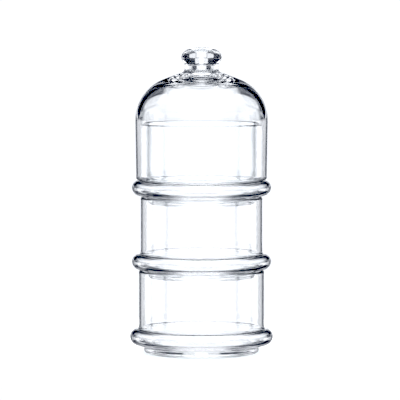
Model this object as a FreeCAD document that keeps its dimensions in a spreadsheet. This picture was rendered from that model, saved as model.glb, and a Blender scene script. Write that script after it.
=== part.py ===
import FreeCAD, Part
import Sketcher
import math
import os

os.makedirs("parts", exist_ok=True)
doc = FreeCAD.newDocument("glass_tier_stand")
V = FreeCAD.Vector

# Clear glass tier stand with a domed cover: three footed jars stacked on one
# another and a bell-shaped cover with a solid knob. Every piece is one glass
# body of revolution about the Z axis. Millimetres; the bottom jar stands on Z=0.
SIZES = [
    # foot of every jar
    ("recess_depth", 0.8),        # shallow hollow under the foot
    ("recess_edge", 3.0),         # width of the slope between hollow and ring
    # bottom jar
    ("bj_foot_rad", 57.5),
    ("bj_foot_corner", 4.0),
    ("bj_foot_top", 6.1),         # height where the foot meets the bulge
    ("bj_recess_rad", 47.0),
    ("bj_bulge_mid", 63.10),      # radius of the bulge's section centre
    ("bj_bulge_height", 17.0),    # height of the bulge's widest ring
    ("bj_bulge_rad", 8.61),       # radius of the bulge's section
    ("bj_fillet", 2.2),
    ("bj_wall_rad", 62.65),
    ("bj_glass", 3.4),
    ("bj_height", 83.2),
    # middle and top jar, which are alike
    ("uj_foot_rad", 54.5),
    ("uj_foot_corner", 4.0),
    ("uj_foot_top", 5.8),
    ("uj_recess_rad", 44.5),
    ("uj_bulge_mid", 61.40),
    ("uj_bulge_height", 16.3),
    ("uj_bulge_rad", 8.30),
    ("uj_fillet", 2.2),
    ("uj_wall_rad", 60.87),
    ("uj_glass", 3.3),
    ("uj_height", 80.8),
    # cover, heights from its own lower edge
    ("cv_rim_round", 1.5),
    ("cv_rim_mid", 63.90),
    ("cv_shoulder_mid", 22.30),   # centre of the outer shoulder's section
    ("cv_shoulder_height", 59.05),
    ("cv_shoulder_rad", 44.0),
    ("cv_crown_slope", 19.6),
    ("cv_neck_foot", 3.6),
    ("cv_neck_rad", 16.86),
    ("cv_neck_head", 4.0),
    ("cv_knob_rad", 20.0),
    ("cv_knob_round", 7.7),
    ("cv_knob_height", 121.85),   # height of the knob's widest ring
    ("cv_height", 132.1),
    ("cv_inner_mid", 24.0),       # centre of the inner shoulder's section
    ("cv_inner_height", 58.6),
    ("cv_inner_rad", 38.5),
    # stacking levels of the pieces' own bases
    ("level_middle", 76.0),
    ("level_top", 150.05),
    ("level_cover", 174.6),
]

sheet = doc.addObject("Spreadsheet::Sheet", "dims")
for row, (alias, value) in enumerate(SIZES, start=1):
    sheet.set("A%d" % row, alias)
    sheet.set("B%d" % row, str(value))
    sheet.setAlias("B%d" % row, alias)
doc.recompute()
S = dict(SIZES)


class Profile:
    """A closed half section in a body's XZ plane, traced with the glass on the left."""

    def __init__(self, body, name):
        self.sketch = doc.addObject("Sketcher::SketchObject", name)
        body.addObject(self.sketch)
        plane = next(
            f for f in body.Origin.OriginFeatures if f.Role == "XZ_Plane"
        )
        self.sketch.AttachmentSupport = [(plane, "")]
        self.sketch.MapMode = "FlatFace"
        self.ends = []
        self.bound = []

    def line(self, a, b, kind=None):
        g = self.sketch.addGeometry(
            Part.LineSegment(V(a[0], a[1], 0), V(b[0], b[1], 0)), False
        )
        if kind:
            self.sketch.addConstraint(Sketcher.Constraint(kind, g))
        self.ends.append((g, 1, 2))
        return g

    def arc(self, mid, rad, a, b, ccw=True):
        """Arc from point a to point b about mid."""
        start, end = (a, b) if ccw else (b, a)
        t0 = math.atan2(start[1] - mid[1], start[0] - mid[0])
        t1 = math.atan2(end[1] - mid[1], end[0] - mid[0])
        while t1 <= t0:
            t1 += 2 * math.pi
        g = self.sketch.addGeometry(
            Part.ArcOfCircle(
                Part.Circle(V(mid[0], mid[1], 0), V(0, 0, 1), rad), t0, t1
            ),
            False,
        )
        self.ends.append((g, 1, 2) if ccw else (g, 2, 1))
        return g

    def join(self, i, kind):
        """Joins piece i's end to the next piece's start."""
        g, _, out = self.ends[i]
        h, start, _ = self.ends[(i + 1) % len(self.ends)]
        self.sketch.addConstraint(Sketcher.Constraint(kind, g, out, h, start))

    def size(self, kind, refs, value, expression):
        c = self.sketch.addConstraint(Sketcher.Constraint(kind, *refs, value))
        self.sketch.setExpression("Constraints[%d]" % c, expression)


def on_line(point, direction, mid, rad, side):
    """Where a line from a point touches a circle, on the given side."""
    dx, dy = mid[0] - point[0], mid[1] - point[1]
    dist = math.hypot(dx, dy)
    turn = math.asin(rad / dist)
    ang = math.atan2(dy, dx) + side * turn
    run = math.sqrt(dist * dist - rad * rad)
    return (point[0] + run * math.cos(ang), point[1] + run * math.sin(ang))


def toward(a, b, dist):
    """The point at a distance from a towards b."""
    d = math.hypot(b[0] - a[0], b[1] - a[1])
    return (a[0] + (b[0] - a[0]) * dist / d, a[1] + (b[1] - a[1]) * dist / d)


def turned(body, profile, label, level):
    rev = doc.addObject("PartDesign::Revolution", body.Name + "_turn")
    body.addObject(rev)
    rev.Profile = profile.sketch
    rev.ReferenceAxis = (profile.sketch, ["V_Axis"])
    rev.Angle = 360.0
    profile.sketch.Visibility = False
    body.Label = label
    body.Placement = FreeCAD.Placement(V(0, 0, 0), FreeCAD.Rotation())
    if level:
        body.setExpression("Placement.Base.z", level)
    return body


def make_jar(name, key, level=None):
    """Footed jar: foot disc, hollow rolled bulge, upright wall, rounded rim."""
    v = lambda word: S[key + word]
    body = doc.addObject("PartDesign::Body", name)
    p = Profile(body, name + "_section")
    rf, c, zj = v("_foot_rad"), v("_foot_corner"), v("_foot_top")
    rk, dk, wk = v("_recess_rad"), S["recess_depth"], S["recess_edge"]
    cb, zb, rb = v("_bulge_mid"), v("_bulge_height"), v("_bulge_rad")
    fil, rw, t, h = v("_fillet"), v("_wall_rad"), v("_glass"), v("_height")
    mid_b = (cb, zb)
    mid_f = (rw + fil, zb + math.sqrt((rb + fil) ** 2 - (rw + fil - cb) ** 2))
    mid_r = (rw - t / 2, h - t / 2)
    touch = on_line((rf, zj), None, mid_b, rb, -1)
    over = toward(mid_b, mid_f, rb)
    inner = toward(mid_b, mid_f, rb - t)
    floor = zb - (rb - t)
    p.line((0, dk), (rk, dk), "Horizontal")                                # 0 hollow
    p.line((rk, dk), (rk + wk, 0))                                         # 1 slope
    p.line((rk + wk, 0), (rf - c, 0), "Horizontal")                        # 2 ring
    p.arc((rf - c, c), c, (rf - c, 0), (rf, c))                            # 3 corner
    p.line((rf, c), (rf, zj), "Vertical")                                  # 4 foot side
    p.line((rf, zj), touch)                                                # 5 underside
    p.arc(mid_b, rb, touch, over)                                          # 6 bulge
    p.arc(mid_f, fil, over, (rw, mid_f[1]), ccw=False)                     # 7 fillet
    p.line((rw, mid_f[1]), (rw, mid_r[1]), "Vertical")                     # 8 wall
    p.arc(mid_r, t / 2, (rw, mid_r[1]), (rw - t, mid_r[1]))                # 9 rim
    p.line((rw - t, mid_r[1]), (rw - t, mid_f[1]), "Vertical")             # 10 inner wall
    p.arc(mid_f, fil + t, (rw - t, mid_f[1]), inner)                       # 11 inner fillet
    p.arc(mid_b, rb - t, inner, (cb, floor), ccw=False)                    # 12 inner bulge
    p.line((cb, floor), (0, floor), "Horizontal")                          # 13 floor
    p.line((0, floor), (0, dk), "Vertical")                                # 14 axis
    for i, kind in enumerate(
        ["Coincident", "Coincident", "Tangent", "Tangent", "Coincident",
         "Tangent", "Tangent", "Tangent", "Tangent", "Tangent", "Tangent",
         "Tangent", "Tangent", "Coincident", "Coincident"]
    ):
        p.join(i, kind)
    sk = p.sketch
    sk.addConstraint(Sketcher.Constraint("PointOnObject", 0, 1, -2))
    sk.addConstraint(Sketcher.Constraint("PointOnObject", 1, 2, -1))
    sk.addConstraint(Sketcher.Constraint("Coincident", 7, 3, 11, 3))
    sk.addConstraint(Sketcher.Constraint("Coincident", 6, 3, 12, 3))
    d = "dims." + key
    p.size("DistanceY", (-1, 1, 0, 2), dk, "dims.recess_depth")
    p.size("DistanceX", (-1, 1, 0, 2), rk, d + "_recess_rad")
    p.size("DistanceX", (0, 2, 1, 2), wk, "dims.recess_edge")
    p.size("Radius", (3,), c, d + "_foot_corner")
    p.size("DistanceX", (-1, 1, 4, 2), rf, d + "_foot_rad")
    p.size("DistanceY", (-1, 1, 4, 2), zj, d + "_foot_top")
    p.size("DistanceX", (-1, 1, 6, 3), cb, d + "_bulge_mid")
    p.size("DistanceY", (-1, 1, 6, 3), zb, d + "_bulge_height")
    p.size("Radius", (6,), rb, d + "_bulge_rad")
    p.size("Radius", (7,), fil, d + "_fillet")
    p.size("DistanceX", (-1, 1, 8, 1), rw, d + "_wall_rad")
    p.size("DistanceY", (-1, 1, 9, 3), h - t / 2, "%s_height - %s_glass / 2" % (d, d))
    p.size("Radius", (9,), t / 2, d + "_glass / 2")
    return turned(body, p, name, level)


def make_cover(name, level):
    """Bell cover: upright wall, thick shoulder and crown, solid knob on a neck."""
    v = lambda word: S["cv_" + word]
    body = doc.addObject("PartDesign::Body", name)
    p = Profile(body, name + "_section")
    rr, rim = v("rim_round"), (v("rim_mid"), v("rim_round"))
    mid_s, rs = (v("shoulder_mid"), v("shoulder_height")), v("shoulder_rad")
    mid_i, ri = (v("inner_mid"), v("inner_height")), v("inner_rad")
    neck, f1, f2 = v("neck_rad"), v("neck_foot"), v("neck_head")
    kr, kq, kz, top = v("knob_rad"), v("knob_round"), v("knob_height"), v("height")
    slope = math.radians(v("crown_slope"))
    zc = mid_i[1] + ri    # flat ceiling, touching the inner shoulder at its top

    def side(m1, r1, m2, r2, sign):
        """Touching points of the common line of two circles, glass side given by sign."""
        dx, dy = m2[0] - m1[0], m2[1] - m1[1]
        dist = math.hypot(dx, dy)
        a = math.atan2(dy, dx) - sign * math.acos((r1 - sign * 0 - r2) / dist)
        n = (math.cos(a), math.sin(a))
        return (
            (m1[0] + r1 * n[0], m1[1] + r1 * n[1]),
            (m2[0] + r2 * n[0], m2[1] + r2 * n[1]),
        )

    out_low, out_high = side(rim, rr, mid_s, rs, 1)
    # inner wall: touches the inner shoulder arc outside and the rim's round inside
    dx, dy = rim[0] - mid_i[0], rim[1] - mid_i[1]
    dist = math.hypot(dx, dy)
    a = math.atan2(dy, dx) + math.acos((ri + rr) / dist)
    n = (math.cos(a), math.sin(a))
    in_high = (mid_i[0] + ri * n[0], mid_i[1] + ri * n[1])
    in_low = (rim[0] - rr * n[0], rim[1] - rr * n[1])
    crown = (mid_s[0] + rs * math.sin(slope), mid_s[1] + rs * math.cos(slope))
    # neck fillet: centre on a vertical at neck + f1, f1 off the crown line
    mx = neck + f1
    along = (crown[0] - mx) / math.cos(slope)
    my = crown[1] + (crown[0] - mx) * math.tan(slope) + f1 / math.cos(slope)
    mid_n = (mx, my)
    foot = (mx - f1 * math.sin(slope), my - f1 * math.cos(slope))
    mid_k = (kr - kq, kz)
    mid_u = (neck + f2, kz - math.sqrt((kq + f2) ** 2 - (neck + f2 - kr + kq) ** 2))
    under = toward(mid_k, mid_u, kq)
    hgt = top - kz
    rt = (mid_k[0] ** 2 + hgt * hgt - kq * kq) / (2 * (hgt - kq))
    mid_t = (0, top - rt)
    # the knob's crown meets its round where the two centres line up
    cap = toward(mid_t, mid_k, rt)
    p.line((0, top), (0, zc), "Vertical")                        # 0 axis
    p.line((0, zc), (mid_i[0], zc), "Horizontal")                # 1 ceiling
    p.arc(mid_i, ri, (mid_i[0], zc), in_high, ccw=False)         # 2 inner shoulder
    p.line(in_high, in_low)                                      # 3 inner wall
    p.arc(rim, rr, in_low, out_low)                              # 4 lower edge
    p.line(out_low, out_high)                                    # 5 outer wall
    p.arc(mid_s, rs, out_high, crown)                            # 6 shoulder
    p.line(crown, foot)                                          # 7 crown
    p.arc(mid_n, f1, foot, (neck, my), ccw=False)                # 8 neck foot
    p.line((neck, my), (neck, mid_u[1]), "Vertical")             # 9 neck
    p.arc(mid_u, f2, (neck, mid_u[1]), under, ccw=False)         # 10 neck head
    p.arc(mid_k, kq, under, cap)                                 # 11 knob round
    p.arc(mid_t, rt, cap, (0, top))                              # 12 knob top
    for i, kind in enumerate(
        ["Coincident", "Tangent", "Tangent", "Tangent", "Tangent", "Tangent",
         "Tangent", "Tangent", "Tangent", "Tangent", "Tangent", "Tangent",
         "Coincident"]
    ):
        p.join(i, kind)
    sk = p.sketch
    sk.addConstraint(Sketcher.Constraint("PointOnObject", 0, 1, -2))
    sk.addConstraint(Sketcher.Constraint("PointOnObject", 12, 3, -2))
    p.size("DistanceY", (-1, 1, 0, 1), top, "dims.cv_height")
    p.size("DistanceX", (-1, 1, 2, 3), mid_i[0], "dims.cv_inner_mid")
    p.size("DistanceY", (-1, 1, 2, 3), mid_i[1], "dims.cv_inner_height")
    p.size("Radius", (2,), ri, "dims.cv_inner_rad")
    p.size("DistanceX", (-1, 1, 4, 3), rim[0], "dims.cv_rim_mid")
    p.size("DistanceY", (-1, 1, 4, 3), rim[1], "dims.cv_rim_round")
    p.size("Radius", (4,), rr, "dims.cv_rim_round")
    p.size("DistanceX", (-1, 1, 6, 3), mid_s[0], "dims.cv_shoulder_mid")
    p.size("DistanceY", (-1, 1, 6, 3), mid_s[1], "dims.cv_shoulder_height")
    p.size("Radius", (6,), rs, "dims.cv_shoulder_rad")
    p.size("DistanceX", (6, 3, 6, 2), rs * math.sin(slope),
           "dims.cv_shoulder_rad * sin(dims.cv_crown_slope * 1 deg)")
    p.size("Radius", (8,), f1, "dims.cv_neck_foot")
    p.size("DistanceX", (-1, 1, 9, 1), neck, "dims.cv_neck_rad")
    p.size("Radius", (10,), f2, "dims.cv_neck_head")
    p.size("DistanceX", (-1, 1, 11, 3), mid_k[0], "dims.cv_knob_rad - dims.cv_knob_round")
    p.size("DistanceY", (-1, 1, 11, 3), mid_k[1], "dims.cv_knob_height")
    p.size("Radius", (11,), kq, "dims.cv_knob_round")
    return turned(body, p, name, level)


bodies = [
    make_jar("jar_bottom", "bj"),
    make_jar("jar_middle", "uj", "dims.level_middle"),
    make_jar("jar_top", "uj", "dims.level_top"),
    make_cover("dome_lid", "dims.level_cover"),
]
doc.recompute()

for obj in doc.Objects:
    bad = [s for s in obj.State if s in ("Invalid", "Error")]
    if bad:
        raise RuntimeError("%s is %s" % (obj.Name, bad))
for body in bodies:
    shape = body.Shape
    if shape.isNull() or not shape.isValid() or len(shape.Solids) != 1:
        raise RuntimeError("%s has no valid solid" % body.Name)
    box = shape.BoundBox
    print(
        "%s z %.2f to %.2f mm, radius %.2f mm, volume %.0f mm3"
        % (body.Name, box.ZMin, box.ZMax, box.XMax, shape.Volume)
    )
for sk in [o for o in doc.Objects if o.TypeId == "Sketcher::SketchObject"]:
    print(sk.Name, "free degrees:", sk.solve(), "full:", sk.FullyConstrained)
for i, a in enumerate(bodies):
    for b in bodies[i + 1:]:
        shared = a.Shape.common(b.Shape).Volume
        gap = a.Shape.distToShape(b.Shape)[0]
        print("%s / %s: shared %.4f mm3, gap %.3f mm" % (a.Name, b.Name, shared, gap))
for body in bodies:
    body.Shape.exportStep("parts/%s.step" % body.Name)
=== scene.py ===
import math

import bpy
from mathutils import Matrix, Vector, noise


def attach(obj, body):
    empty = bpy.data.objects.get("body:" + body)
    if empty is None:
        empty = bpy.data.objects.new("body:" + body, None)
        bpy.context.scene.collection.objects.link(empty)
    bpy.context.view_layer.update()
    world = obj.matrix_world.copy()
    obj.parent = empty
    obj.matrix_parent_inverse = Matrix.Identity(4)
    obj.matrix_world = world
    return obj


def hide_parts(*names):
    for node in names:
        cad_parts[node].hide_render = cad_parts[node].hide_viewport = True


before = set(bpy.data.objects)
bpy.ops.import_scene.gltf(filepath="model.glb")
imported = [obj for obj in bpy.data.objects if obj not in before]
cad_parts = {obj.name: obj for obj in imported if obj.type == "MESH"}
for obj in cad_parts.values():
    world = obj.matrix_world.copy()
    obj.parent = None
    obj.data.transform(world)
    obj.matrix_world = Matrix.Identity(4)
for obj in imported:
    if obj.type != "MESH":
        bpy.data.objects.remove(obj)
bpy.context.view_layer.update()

scene = bpy.context.scene
MM = 0.001
SEG = 320  # segments round the axis

# ---------------------------------------------------------------- profiles (mm)
D = dict(
    recess_depth=0.8, recess_edge=3.0,
    bj_foot_rad=57.5, bj_foot_corner=4.0, bj_foot_top=6.1, bj_recess_rad=47.0,
    bj_bulge_mid=63.10, bj_bulge_height=17.0, bj_bulge_rad=8.61, bj_fillet=2.2,
    bj_wall_rad=62.65, bj_glass=3.4, bj_height=83.2,
    uj_foot_rad=54.5, uj_foot_corner=4.0, uj_foot_top=5.8, uj_recess_rad=44.5,
    uj_bulge_mid=61.40, uj_bulge_height=16.3, uj_bulge_rad=8.30, uj_fillet=2.2,
    uj_wall_rad=60.87, uj_glass=3.3, uj_height=80.8,
    cv_rim_round=1.5, cv_rim_mid=63.90, cv_shoulder_mid=22.30, cv_shoulder_height=59.05,
    cv_shoulder_rad=44.0, cv_crown_slope=19.6, cv_neck_foot=3.6, cv_neck_rad=16.86,
    cv_neck_head=4.0, cv_knob_rad=20.0, cv_knob_round=7.7, cv_knob_height=121.85,
    cv_height=132.1, cv_inner_mid=24.0, cv_inner_height=58.6, cv_inner_rad=38.5,
)
LEVEL = dict(jar_bottom=0.0, jar_middle=76.0, jar_top=150.05, dome_lid=174.6)


class Path:
    """Half section traced with the glass on the left: axis, outside, inside, axis."""

    def __init__(self, start):
        self.pts = [start]

    def line(self, end, step=2.5):
        a = self.pts[-1]
        n = max(1, round(math.dist(a, end) / step))
        for i in range(1, n + 1):
            t = i / n
            self.pts.append((a[0] + (end[0] - a[0]) * t, a[1] + (end[1] - a[1]) * t))

    def arc(self, mid, end, ccw=True, step=0.45, least=10):
        a = self.pts[-1]
        r = math.dist(a, mid)
        t0 = math.atan2(a[1] - mid[1], a[0] - mid[0])
        t1 = math.atan2(end[1] - mid[1], end[0] - mid[0])
        if ccw:
            while t1 <= t0:
                t1 += 2 * math.pi
        else:
            while t1 >= t0:
                t1 -= 2 * math.pi
        n = max(least, round(abs(t1 - t0) * r / step))
        for i in range(1, n + 1):
            t = t0 + (t1 - t0) * i / n
            self.pts.append((mid[0] + r * math.cos(t), mid[1] + r * math.sin(t)))

    def corner(self, p, nxt, r, step=2.5):
        """Line towards p, rounded there by r, leaving towards nxt."""
        a = self.pts[-1]
        u = ((a[0] - p[0]), (a[1] - p[1]))
        w = ((nxt[0] - p[0]), (nxt[1] - p[1]))
        lu, lw = math.hypot(*u), math.hypot(*w)
        u, w = (u[0] / lu, u[1] / lu), (w[0] / lw, w[1] / lw)
        half = math.acos(max(-1, min(1, u[0] * w[0] + u[1] * w[1]))) / 2
        run = r / math.tan(half)
        s = (p[0] + u[0] * run, p[1] + u[1] * run)
        e = (p[0] + w[0] * run, p[1] + w[1] * run)
        b = (u[0] + w[0], u[1] + w[1])
        lb = math.hypot(*b)
        m = (p[0] + b[0] / lb * r / math.sin(half), p[1] + b[1] / lb * r / math.sin(half))
        self.line(s, step)
        ccw = (p[0] - s[0]) * (e[1] - p[1]) - (p[1] - s[1]) * (e[0] - p[0]) > 0
        self.arc(m, e, ccw)


def toward(a, b, dist):
    d = math.dist(a, b)
    return (a[0] + (b[0] - a[0]) * dist / d, a[1] + (b[1] - a[1]) * dist / d)


def touch_low(point, mid, rad):
    dx, dy = mid[0] - point[0], mid[1] - point[1]
    dist = math.hypot(dx, dy)
    ang = math.atan2(dy, dx) - math.asin(rad / dist)
    run = math.sqrt(dist * dist - rad * rad)
    return (point[0] + run * math.cos(ang), point[1] + run * math.sin(ang))


def jar_profile(key):
    v = lambda word: D[key + word]
    rf, c, zj = v("_foot_rad"), v("_foot_corner"), v("_foot_top")
    rk, dk, wk = v("_recess_rad"), D["recess_depth"], D["recess_edge"]
    cb, zb, rb = v("_bulge_mid"), v("_bulge_height"), v("_bulge_rad")
    fil, rw, t, h = v("_fillet"), v("_wall_rad"), v("_glass"), v("_height")
    mid_b = (cb, zb)
    mid_f = (rw + fil, zb + math.sqrt((rb + fil) ** 2 - (rw + fil - cb) ** 2))
    mid_r = (rw - t / 2, h - t / 2)
    touch = touch_low((rf, zj), mid_b, rb)
    over = toward(mid_b, mid_f, rb)
    inner = toward(mid_b, mid_f, rb - t)
    floor = zb - (rb - t)
    p = Path((0, dk))
    p.corner((rk, dk), (rk + wk, 0), 2.5)
    p.corner((rk + wk, 0), (rf - c, 0), 1.5)
    p.line((rf - c, 0))
    p.arc((rf - c, c), (rf, c), step=0.3)
    p.corner((rf, zj), touch, 0.7, step=0.6)
    p.line(touch, 1.0)
    p.arc(mid_b, over)
    p.arc(mid_f, (rw, mid_f[1]), ccw=False, step=0.25)
    p.line((rw, mid_r[1]))
    p.arc(mid_r, (rw - t, mid_r[1]), step=0.25)
    p.line((rw - t, mid_f[1]))
    p.arc(mid_f, inner, step=0.4)
    p.arc(mid_b, (cb, floor), ccw=False)
    p.line((0, floor))
    return p.pts


def cover_profile():
    v = lambda word: D["cv_" + word]
    rr, rim = v("rim_round"), (v("rim_mid"), v("rim_round"))
    mid_s, rs = (v("shoulder_mid"), v("shoulder_height")), v("shoulder_rad")
    mid_i, ri = (v("inner_mid"), v("inner_height")), v("inner_rad")
    neck, f1, f2 = v("neck_rad"), v("neck_foot"), v("neck_head")
    kr, kq, kz, top = v("knob_rad"), v("knob_round"), v("knob_height"), v("height")
    slope = math.radians(v("crown_slope"))
    zc = mid_i[1] + ri
    dx, dy = mid_s[0] - rim[0], mid_s[1] - rim[1]
    a = math.atan2(dy, dx) - math.acos((rr - rs) / math.hypot(dx, dy))
    n = (math.cos(a), math.sin(a))
    out_low = (rim[0] + rr * n[0], rim[1] + rr * n[1])
    out_high = (mid_s[0] + rs * n[0], mid_s[1] + rs * n[1])
    dx, dy = rim[0] - mid_i[0], rim[1] - mid_i[1]
    a = math.atan2(dy, dx) + math.acos((ri + rr) / math.hypot(dx, dy))
    n = (math.cos(a), math.sin(a))
    in_high = (mid_i[0] + ri * n[0], mid_i[1] + ri * n[1])
    in_low = (rim[0] - rr * n[0], rim[1] - rr * n[1])
    crown = (mid_s[0] + rs * math.sin(slope), mid_s[1] + rs * math.cos(slope))
    mx = neck + f1
    my = crown[1] + (crown[0] - mx) * math.tan(slope) + f1 / math.cos(slope)
    foot = (mx - f1 * math.sin(slope), my - f1 * math.cos(slope))
    mid_k = (kr - kq, kz)
    mid_u = (neck + f2, kz - math.sqrt((kq + f2) ** 2 - (neck + f2 - kr + kq) ** 2))
    under = toward(mid_k, mid_u, kq)
    hgt = top - kz
    rt = (mid_k[0] ** 2 + hgt * hgt - kq * kq) / (2 * (hgt - kq))
    mid_t = (0, top - rt)
    cap = toward(mid_t, mid_k, rt)
    # traced from the ceiling's centre down the inside and back up the outside
    p = Path((0, zc))
    p.line((mid_i[0], zc))
    p.arc(mid_i, in_high, ccw=False, step=0.8)
    p.line(in_low)
    p.arc(rim, out_low, step=0.25)
    p.line(out_high)
    p.arc(mid_s, crown, step=0.8)
    p.line(foot, 1.0)
    p.arc((mx, my), (neck, my), ccw=False, step=0.3)
    p.line((neck, mid_u[1]), 0.6)
    p.arc(mid_u, under, ccw=False, step=0.3)
    p.arc(mid_k, cap, step=0.3)
    p.arc(mid_t, (0, top), step=0.6)
    return p.pts


def revolve(name, pts, level, body, node, swell=None):
    """Solid of revolution in metres; pts start and end on the axis."""
    verts, faces = [], []
    ring = pts[1:-1]
    verts.append((0, 0, (pts[0][1] + level) * MM))
    for j, (r, z) in enumerate(ring):
        for i in range(SEG):
            t = 2 * math.pi * i / SEG
            c, s = math.cos(t), math.sin(t)
            rr, zz = r, z
            if swell:
                dr, dzz = swell(r, z, t, j)
                rr, zz = r + dr, z + dzz
            verts.append((rr * c * MM, rr * s * MM, (zz + level) * MM))
    verts.append((0, 0, (pts[-1][1] + level) * MM))
    last = len(verts) - 1
    for i in range(SEG):
        k = (i + 1) % SEG
        faces.append((0, 1 + k, 1 + i))
        top = 1 + (len(ring) - 1) * SEG
        faces.append((last, top + i, top + k))
        for j in range(len(ring) - 1):
            a, b = 1 + j * SEG, 1 + (j + 1) * SEG
            faces.append((a + i, a + k, b + k, b + i))
    me = bpy.data.meshes.new(name)
    me.from_pydata(verts, [], faces)
    me.update()
    for f in me.polygons:
        f.use_smooth = True
    ob = bpy.data.objects.new(name, me)
    scene.collection.objects.link(ob)
    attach(ob, body)
    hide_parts(node)
    return ob


# ---------------------------------------------------------------- glass
def glass(name, seed):
    m = bpy.data.materials.new(name)
    m.use_nodes = True
    nt = m.node_tree
    nt.nodes.clear()
    N, L = nt.nodes.new, nt.links.new
    out = N("ShaderNodeOutputMaterial")
    mix = N("ShaderNodeMixShader")
    path = N("ShaderNodeLightPath")
    clear = N("ShaderNodeBsdfTransparent")
    clear.inputs["Color"].default_value = (0.955, 0.97, 0.975, 1)
    b = N("ShaderNodeBsdfPrincipled")
    b.inputs["Base Color"].default_value = (0.985, 0.993, 0.998, 1)
    b.inputs["Transmission Weight"].default_value = 1.0
    b.inputs["Roughness"].default_value = 0.0
    b.inputs["IOR"].default_value = 1.52
    # faint flow marks of pressed glass
    tc = N("ShaderNodeTexCoord")
    mp = N("ShaderNodeMapping")
    mp.inputs["Location"].default_value = (seed * 3.1, seed * 1.7, 0)
    mp.inputs["Scale"].default_value = (1, 1, 0.45)
    nz = N("ShaderNodeTexNoise")
    nz.inputs["Scale"].default_value = 38.0
    nz.inputs["Detail"].default_value = 1.5
    bump = N("ShaderNodeBump")
    bump.inputs["Strength"].default_value = 0.02
    bump.inputs["Distance"].default_value = 0.0006
    L(tc.outputs["Object"], mp.inputs["Vector"])
    L(mp.outputs["Vector"], nz.inputs["Vector"])
    L(nz.outputs["Fac"], bump.inputs["Height"])
    L(bump.outputs["Normal"], b.inputs["Normal"])
    L(path.outputs["Is Shadow Ray"], mix.inputs["Fac"])
    L(b.outputs["BSDF"], mix.inputs[1])
    L(clear.outputs["BSDF"], mix.inputs[2])
    L(mix.outputs["Shader"], out.inputs["Surface"])
    return m


JOBS = [
    ("glass_jar_bottom", jar_profile("bj"), "jar_bottom", "bottom_jar", 1.0),
    ("glass_jar_middle", jar_profile("uj"), "jar_middle", "middle_jar", 2.0),
    ("glass_jar_top", jar_profile("uj"), "jar_top", "top_jar", 3.0),
    ("glass_cover", cover_profile(), "dome_lid", "cover", 4.0),
]
for name, pts, node, body, seed in JOBS:
    ob = revolve(name, pts, LEVEL[node], body, node)
    ob.data.materials.append(glass(name + "_clear", seed))

# ---------------------------------------------------------------- floor
bpy.ops.mesh.primitive_circle_add(vertices=96, radius=0.36, fill_type="NGON", location=(0, 0, -0.0004))
floor = bpy.context.object
floor.name = "studio_floor"
fm = bpy.data.materials.new("studio_floor_white")
fm.use_nodes = True
fb = fm.node_tree.nodes["Principled BSDF"]
fb.inputs["Base Color"].default_value = (0.9, 0.9, 0.9, 1)
fb.inputs["Roughness"].default_value = 0.6
fb.inputs["Specular IOR Level"].default_value = 0.2
floor.data.materials.append(fm)
floor.visible_transmission = False
floor.visible_glossy = False

# ---------------------------------------------------------------- studio light
world = bpy.data.worlds.new("studio")
scene.world = world
world.use_nodes = True
wt = world.node_tree
wt.nodes.clear()


def W(op, *args):
    n = wt.nodes.new("ShaderNodeMath")
    n.operation = op
    for i, a in enumerate(args):
        if isinstance(a, (int, float)):
            n.inputs[i].default_value = a
        else:
            wt.links.new(a, n.inputs[i])
    return n.outputs[0]


def ramp(value, lo, hi):
    """0 below lo, 1 above hi, smooth between."""
    n = wt.nodes.new("ShaderNodeMapRange")
    n.interpolation_type = "SMOOTHSTEP"
    n.inputs["From Min"].default_value = lo
    n.inputs["From Max"].default_value = hi
    wt.links.new(value, n.inputs["Value"])
    return n.outputs["Result"]


tex = wt.nodes.new("ShaderNodeTexCoord")
sep = wt.nodes.new("ShaderNodeSeparateXYZ")
wt.links.new(tex.outputs["Generated"], sep.inputs[0])
X, Y, Z = sep.outputs
AZ = W("MULTIPLY", W("ARCTAN2", X, Y), 180 / math.pi)     # 0 behind the object, + to the right
EL = W("MULTIPLY", W("ARCSINE", Z), 180 / math.pi)


def window(value, lo, hi, soft):
    return W("SUBTRACT", ramp(value, lo - soft, lo + soft), ramp(value, hi - soft, hi + soft))


def add(*parts):
    t = parts[0]
    for p in parts[1:]:
        t = W("ADD", t, p)
    return t


def both(lo, hi, soft=2.5):
    """Panels at the same angles left and right."""
    return W("ADD", window(AZ, lo, hi, soft), window(AZ, -hi, -lo, soft))


A = W("ABSOLUTE", AZ)
NEG = lambda v: W("SUBTRACT", 1.0, v)


def times(*parts):
    t = parts[0]
    for p in parts[1:]:
        t = W("MULTIPLY", t, p)
    return t


def patch(az, el, half_az, half_el, soft=2.5):
    """Small panel round one direction."""
    d = W("SUBTRACT", W("MODULO", W("ADD", AZ, 540.0 - az), 360.0), 180.0)
    return times(window(d, -half_az, half_az, soft), window(EL, el - half_el, el + half_el, soft))


# backdrop just wider than the object, dark gaps beside it, then long side banks
back = times(NEG(ramp(A, 8, 14)), window(EL, -16, 2.2, 1.5), 1.06)
column = times(NEG(ramp(A, 3.3, 5.2)), window(EL, 2.2, 19, 1.5), 1.12)
head = times(window(A, 12, 28, 2.0), window(EL, -0.2, 2.3, 0.3), 0.95)
fillet = times(window(A, 4, 13, 1.5), window(EL, 2.5, 8.5, 0.8), 0.95)
crown = times(NEG(ramp(A, 9, 12.5)), window(EL, 25, 35, 1.5), 1.25)
wing = add(times(ramp(A, 22, 27), 0.75), times(ramp(A, 36, 42), 0.6), times(ramp(A, 42, 50), 0.9))
wing = times(wing, window(EL, -14, -0.9, 1.0))
# the same dark gaps and column for the object seen from its left or right
wing = times(wing, NEG(add(window(A, 68, 76, 1.0), window(A, 104, 112, 1.0))))
side = times(window(A, 84, 96, 1.2), window(EL, -0.9, 19, 1.0), 1.12)
# the white table sweep, wider the lower it is seen
half = W("ADD", times(W("MAXIMUM", times(W("ADD", EL, 14.0), -1.0), 0.0), 0.33), 13.0)
sweep = times(NEG(ramp(W("DIVIDE", A, half), 0.85, 1.15)), window(EL, -64, -16, 2.0), 0.95)
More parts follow.
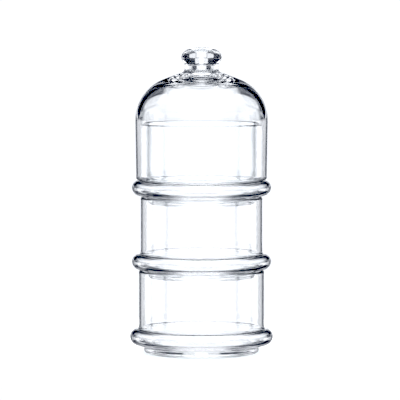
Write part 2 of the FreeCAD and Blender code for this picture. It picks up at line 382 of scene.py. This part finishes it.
# banks above the sides, and the overhead panel
upper = times(add(times(ramp(A, 38, 46), 1.1), times(ramp(A, 56, 66), 0.6)), window(EL, 13.5, 50, 2.0))
upper = times(upper, NEG(times(window(A, 103, 138, 5.0), window(EL, 2, 30, 4.0), 0.9)))
front = times(ramp(A, 138, 152), window(EL, 0, 50, 3.0), 1.2)
over = add(times(ramp(EL, 51, 54), 1.1), times(ramp(A, 10, 45), ramp(EL, 50, 58), 1.8))
# softboxes in front, low on both sides of the camera
low = times(ramp(A, 96, 108), window(EL, -62, -11, 2.0), 1.8)
low = times(low, NEG(times(window(A, 150, 200, 4.0), window(EL, -40, -9, 3.0))))
diagonal = times(patch(-45, -25, 9, 9), 1.2)
under = times(NEG(ramp(EL, -72, -62)), 0.6)
white = add(back, side, column, head, fillet, crown, wing, sweep, upper, front, over, low, diagonal, under)
colour = wt.nodes.new("ShaderNodeMix")
colour.data_type = "RGBA"
colour.clamp_factor = False
colour.inputs[6].default_value = (0.005, 0.008, 0.018, 1)
colour.inputs[7].default_value = (0.97, 0.99, 1.035, 1)
wt.links.new(white, colour.inputs[0])
bg = wt.nodes.new("ShaderNodeBackground")
wo = wt.nodes.new("ShaderNodeOutputWorld")
wt.links.new(colour.outputs[2], bg.inputs["Color"])
wt.links.new(bg.outputs[0], wo.inputs["Surface"])

sun_light = bpy.data.lights.new("overhead_panel", "SUN")
sun_light.angle = math.radians(70)
sun_light.energy = 4.2
sun = bpy.data.objects.new("overhead_panel", sun_light)
sun.location = (0, 0, 2.6)
sun.visible_glossy = False
sun.visible_transmission = False
scene.collection.objects.link(sun)

# ---------------------------------------------------------------- camera
cam_data = bpy.data.cameras.new("camera")
cam = bpy.data.objects.new("camera", cam_data)
scene.collection.objects.link(cam)
DIST, HEIGHT, AIM_Z, OFF_X = 5.2, 0.540, 0.1535, -0.0015
cam.location = (OFF_X, -DIST, HEIGHT)
aim = Vector((OFF_X, 0, AIM_Z))
cam.rotation_mode = "QUATERNION"
cam.rotation_quaternion = (aim - cam.location).to_track_quat("-Z", "Y")
cam_data.sensor_width = 36
cam_data.lens = 36 * (aim - cam.location).length / 0.400
cam_data.clip_start, cam_data.clip_end = 0.1, 60
scene.camera = cam

scene.view_settings.view_transform = "Standard"
scene.view_settings.look = "None"
scene.view_settings.use_curve_mapping = True
scene.view_settings.curve_mapping.black_level = (0.070, 0.067, 0.058)
scene.view_settings.curve_mapping.update()
scene.cycles.max_bounces = 40
scene.cycles.transmission_bounces = 40
scene.cycles.glossy_bounces = 12
scene.cycles.transparent_max_bounces = 40
scene.cycles.caustics_reflective = False
scene.cycles.caustics_refractive = False
